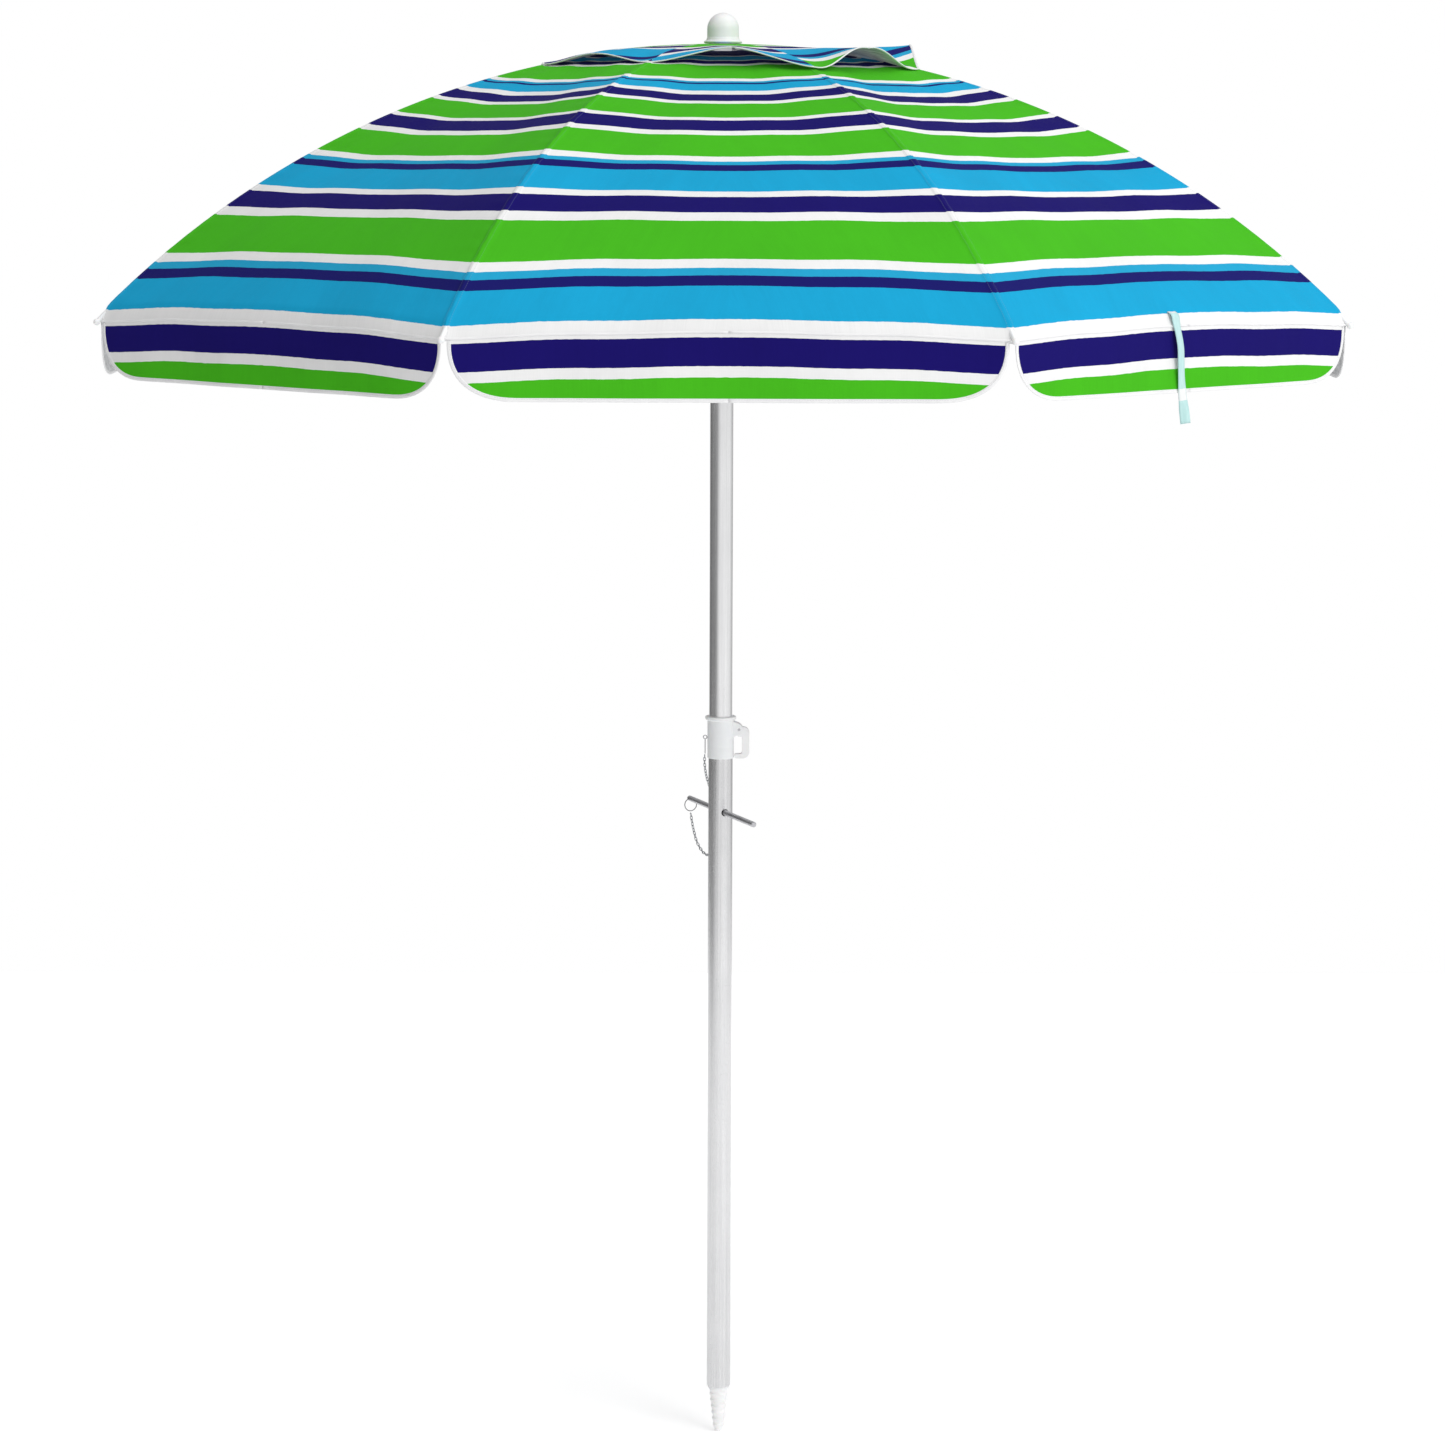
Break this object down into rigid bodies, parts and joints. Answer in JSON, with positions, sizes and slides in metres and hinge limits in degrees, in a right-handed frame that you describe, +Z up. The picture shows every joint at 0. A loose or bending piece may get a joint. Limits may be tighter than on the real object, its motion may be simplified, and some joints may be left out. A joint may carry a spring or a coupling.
{
  "type": "beach umbrella",
  "caption": "Beach umbrella with an arched, striped, vented canopy and valance, a telescoping two-piece pole with a clamp lever, a chained cross bar and a ridged ground spike.",
  "frame": {"origin": "point of the ground spike, on the pole's axis", "axes": "+Z up the pole; -Y towards the viewer, at the middle of a gore; +X towards the clamp lever"},
  "size_m": [1.683, 1.683, 2.079],
  "materials": {
    "white_plastic": "satin moulded plastic",
    "pole_aluminium": "satin drawn tube, lightly speckled at its lower end",
    "bright_steel": "zinc plated",
    "chain_steel": "nickel plated",
    "rib_steel": "silver grey paint",
    "striped_cloth": "plain woven polyester, striped green, white, navy and light blue outside, silver coated inside",
    "strap_webbing": "pale aqua webbing"
  },
  "bodies": {
    "root": {"ground_spike": "white_plastic", "lower_pole": "pole_aluminium", "clamp_collar": "white_plastic", "lever_pin": "bright_steel", "chain_eye": "chain_steel", "safety_chain": "chain_steel"},
    "upper_pole": {"upper_pole": "pole_aluminium", "pole_foot": "white_plastic", "crown_hub": "white_plastic", "crown_ring": "bright_steel", "finial": "white_plastic", "canopy_washer": "bright_steel", "runner_catch": "bright_steel", "runner_stop": "bright_steel", "canopy": "striped_cloth", "vent_flap": "striped_cloth"},
    "runner": {"runner": "white_plastic"},
    "lever": {"clamp_lever": "white_plastic"},
    "cross_bar": {"cross_bar": "bright_steel", "split_ring": "chain_steel"},
    "rib_1": {"rib_1": "rib_steel", "rib_tip_1": "white_plastic"},
    "stretcher_1": {"stretcher_1": "rib_steel"},
    "valance_1": {"valance_1": "striped_cloth"},
    "rib_2": {"rib_2": "rib_steel", "rib_tip_2": "white_plastic"},
    "stretcher_2": {"stretcher_2": "rib_steel"},
    "valance_2": {"valance_2": "striped_cloth", "closing_strap": "strap_webbing"},
    "rib_3": {"rib_3": "rib_steel", "rib_tip_3": "white_plastic"},
    "stretcher_3": {"stretcher_3": "rib_steel"},
    "valance_3": {"valance_3": "striped_cloth"},
    "rib_4": {"rib_4": "rib_steel", "rib_tip_4": "white_plastic"},
    "stretcher_4": {"stretcher_4": "rib_steel"},
    "valance_4": {"valance_4": "striped_cloth"},
    "rib_5": {"rib_5": "rib_steel", "rib_tip_5": "white_plastic"},
    "stretcher_5": {"stretcher_5": "rib_steel"},
    "valance_5": {"valance_5": "striped_cloth"},
    "rib_6": {"rib_6": "rib_steel", "rib_tip_6": "white_plastic"},
    "stretcher_6": {"stretcher_6": "rib_steel"},
    "valance_6": {"valance_6": "striped_cloth"},
    "rib_7": {"rib_7": "rib_steel", "rib_tip_7": "white_plastic"},
    "stretcher_7": {"stretcher_7": "rib_steel"},
    "valance_7": {"valance_7": "striped_cloth"},
    "rib_8": {"rib_8": "rib_steel", "rib_tip_8": "white_plastic"},
    "stretcher_8": {"stretcher_8": "rib_steel"},
    "valance_8": {"valance_8": "striped_cloth"}
  },
  "joints": [
    {"name": "pole_lift", "type": "slide", "parent": "root", "child": "upper_pole", "axis": [0, 0, 1], "range_m": [0, 0.08]},
    {"name": "canopy_fold", "type": "slide", "parent": "upper_pole", "child": "runner", "axis": [0, 0, -1], "range_m": [0, 0.5827], "deforming": ["canopy", "vent_flap", "closing_strap", "runner_catch", "valance_1", "valance_2", "valance_3", "valance_4", "valance_5", "valance_6", "valance_7", "valance_8"]},
    {"name": "clamp_release", "type": "hinge", "parent": "root", "child": "lever", "pos_m": [0.0265, 0, 1.058], "axis": [0, -1, 0], "range_deg": [0, 90]},
    {"name": "cross_bar_pull", "type": "slide", "parent": "root", "child": "cross_bar", "axis": [-0.3746, 0.9272, 0], "range_m": [0, 0.08], "deforming": ["safety_chain"]},
    {"name": "rib_hinge_1", "type": "hinge", "parent": "upper_pole", "child": "rib_1", "pos_m": [-0.01148, -0.02772, 2.02595], "axis": [0.9239, -0.3827, 0], "range_deg": [0, 63.6]},
    {"name": "stretcher_hinge_1", "type": "hinge", "parent": "rib_1", "child": "stretcher_1", "pos_m": [-0.17221, -0.41575, 1.94562], "axis": [-0.9239, 0.3827, 0], "range_deg": [0, 113.6]},
    {"name": "valance_hang_1", "type": "hinge", "parent": "rib_1", "child": "valance_1", "pos_m": [-0.34442, -0.83149, 1.66256], "axis": [-0.9239, 0.3827, 0], "range_deg": [0, 63.6]},
    {"name": "rib_hinge_2", "type": "hinge", "parent": "upper_pole", "child": "rib_2", "pos_m": [0.01148, -0.02772, 2.02595], "axis": [0.9239, 0.3827, 0], "range_deg": [0, 63.6]},
    {"name": "stretcher_hinge_2", "type": "hinge", "parent": "rib_2", "child": "stretcher_2", "pos_m": [0.17221, -0.41575, 1.94562], "axis": [-0.9239, -0.3827, 0], "range_deg": [0, 113.6]},
    {"name": "valance_hang_2", "type": "hinge", "parent": "rib_2", "child": "valance_2", "pos_m": [0.34442, -0.83149, 1.66256], "axis": [-0.9239, -0.3827, 0], "range_deg": [0, 63.6]},
    {"name": "rib_hinge_3", "type": "hinge", "parent": "upper_pole", "child": "rib_3", "pos_m": [0.02772, -0.01148, 2.02595], "axis": [0.3827, 0.9239, 0], "range_deg": [0, 63.6]},
    {"name": "stretcher_hinge_3", "type": "hinge", "parent": "rib_3", "child": "stretcher_3", "pos_m": [0.41575, -0.17221, 1.94562], "axis": [-0.3827, -0.9239, 0], "range_deg": [0, 113.6]},
    {"name": "valance_hang_3", "type": "hinge", "parent": "rib_3", "child": "valance_3", "pos_m": [0.83149, -0.34442, 1.66256], "axis": [-0.3827, -0.9239, 0], "range_deg": [0, 63.6]},
    {"name": "rib_hinge_4", "type": "hinge", "parent": "upper_pole", "child": "rib_4", "pos_m": [0.02772, 0.01148, 2.02595], "axis": [-0.3827, 0.9239, 0], "range_deg": [0, 63.6]},
    {"name": "stretcher_hinge_4", "type": "hinge", "parent": "rib_4", "child": "stretcher_4", "pos_m": [0.41575, 0.17221, 1.94562], "axis": [0.3827, -0.9239, 0], "range_deg": [0, 113.6]},
    {"name": "valance_hang_4", "type": "hinge", "parent": "rib_4", "child": "valance_4", "pos_m": [0.83149, 0.34442, 1.66256], "axis": [0.3827, -0.9239, 0], "range_deg": [0, 63.6]},
    {"name": "rib_hinge_5", "type": "hinge", "parent": "upper_pole", "child": "rib_5", "pos_m": [0.01148, 0.02772, 2.02595], "axis": [-0.9239, 0.3827, 0], "range_deg": [0, 63.6]},
    {"name": "stretcher_hinge_5", "type": "hinge", "parent": "rib_5", "child": "stretcher_5", "pos_m": [0.17221, 0.41575, 1.94562], "axis": [0.9239, -0.3827, 0], "range_deg": [0, 113.6]},
    {"name": "valance_hang_5", "type": "hinge", "parent": "rib_5", "child": "valance_5", "pos_m": [0.34442, 0.83149, 1.66256], "axis": [0.9239, -0.3827, 0], "range_deg": [0, 63.6]},
    {"name": "rib_hinge_6", "type": "hinge", "parent": "upper_pole", "child": "rib_6", "pos_m": [-0.01148, 0.02772, 2.02595], "axis": [-0.9239, -0.3827, 0], "range_deg": [0, 63.6]},
    {"name": "stretcher_hinge_6", "type": "hinge", "parent": "rib_6", "child": "stretcher_6", "pos_m": [-0.17221, 0.41575, 1.94562], "axis": [0.9239, 0.3827, 0], "range_deg": [0, 113.6]},
    {"name": "valance_hang_6", "type": "hinge", "parent": "rib_6", "child": "valance_6", "pos_m": [-0.34442, 0.83149, 1.66256], "axis": [0.9239, 0.3827, 0], "range_deg": [0, 63.6]},
    {"name": "rib_hinge_7", "type": "hinge", "parent": "upper_pole", "child": "rib_7", "pos_m": [-0.02772, 0.01148, 2.02595], "axis": [-0.3827, -0.9239, 0], "range_deg": [0, 63.6]},
    {"name": "stretcher_hinge_7", "type": "hinge", "parent": "rib_7", "child": "stretcher_7", "pos_m": [-0.41575, 0.17221, 1.94562], "axis": [0.3827, 0.9239, 0], "range_deg": [0, 113.6]},
    {"name": "valance_hang_7", "type": "hinge", "parent": "rib_7", "child": "valance_7", "pos_m": [-0.83149, 0.34442, 1.66256], "axis": [0.3827, 0.9239, 0], "range_deg": [0, 63.6]},
    {"name": "rib_hinge_8", "type": "hinge", "parent": "upper_pole", "child": "rib_8", "pos_m": [-0.02772, -0.01148, 2.02595], "axis": [0.3827, -0.9239, 0], "range_deg": [0, 63.6]},
    {"name": "stretcher_hinge_8", "type": "hinge", "parent": "rib_8", "child": "stretcher_8", "pos_m": [-0.41575, -0.17221, 1.94562], "axis": [-0.3827, 0.9239, 0], "range_deg": [0, 113.6]},
    {"name": "valance_hang_8", "type": "hinge", "parent": "rib_8", "child": "valance_8", "pos_m": [-0.83149, -0.34442, 1.66256], "axis": [-0.3827, 0.9239, 0], "range_deg": [0, 63.6]}
  ],
  "couplings": [
    {"joint": "rib_hinge_1", "follows": "canopy_fold", "rad_per_m": 1.902},
    {"joint": "stretcher_hinge_1", "follows": "canopy_fold", "rad_per_m": 3.3982},
    {"joint": "valance_hang_1", "follows": "canopy_fold", "rad_per_m": 1.902},
    {"joint": "rib_hinge_2", "follows": "canopy_fold", "rad_per_m": 1.902},
    {"joint": "stretcher_hinge_2", "follows": "canopy_fold", "rad_per_m": 3.3982},
    {"joint": "valance_hang_2", "follows": "canopy_fold", "rad_per_m": 1.902},
    {"joint": "rib_hinge_3", "follows": "canopy_fold", "rad_per_m": 1.902},
    {"joint": "stretcher_hinge_3", "follows": "canopy_fold", "rad_per_m": 3.3982},
    {"joint": "valance_hang_3", "follows": "canopy_fold", "rad_per_m": 1.902},
    {"joint": "rib_hinge_4", "follows": "canopy_fold", "rad_per_m": 1.902},
    {"joint": "stretcher_hinge_4", "follows": "canopy_fold", "rad_per_m": 3.3982},
    {"joint": "valance_hang_4", "follows": "canopy_fold", "rad_per_m": 1.902},
    {"joint": "rib_hinge_5", "follows": "canopy_fold", "rad_per_m": 1.902},
    {"joint": "stretcher_hinge_5", "follows": "canopy_fold", "rad_per_m": 3.3982},
    {"joint": "valance_hang_5", "follows": "canopy_fold", "rad_per_m": 1.902},
    {"joint": "rib_hinge_6", "follows": "canopy_fold", "rad_per_m": 1.902},
    {"joint": "stretcher_hinge_6", "follows": "canopy_fold", "rad_per_m": 3.3982},
    {"joint": "valance_hang_6", "follows": "canopy_fold", "rad_per_m": 1.902},
    {"joint": "rib_hinge_7", "follows": "canopy_fold", "rad_per_m": 1.902},
    {"joint": "stretcher_hinge_7", "follows": "canopy_fold", "rad_per_m": 3.3982},
    {"joint": "valance_hang_7", "follows": "canopy_fold", "rad_per_m": 1.902},
    {"joint": "rib_hinge_8", "follows": "canopy_fold", "rad_per_m": 1.902},
    {"joint": "stretcher_hinge_8", "follows": "canopy_fold", "rad_per_m": 3.3982},
    {"joint": "valance_hang_8", "follows": "canopy_fold", "rad_per_m": 1.902}
  ]
}
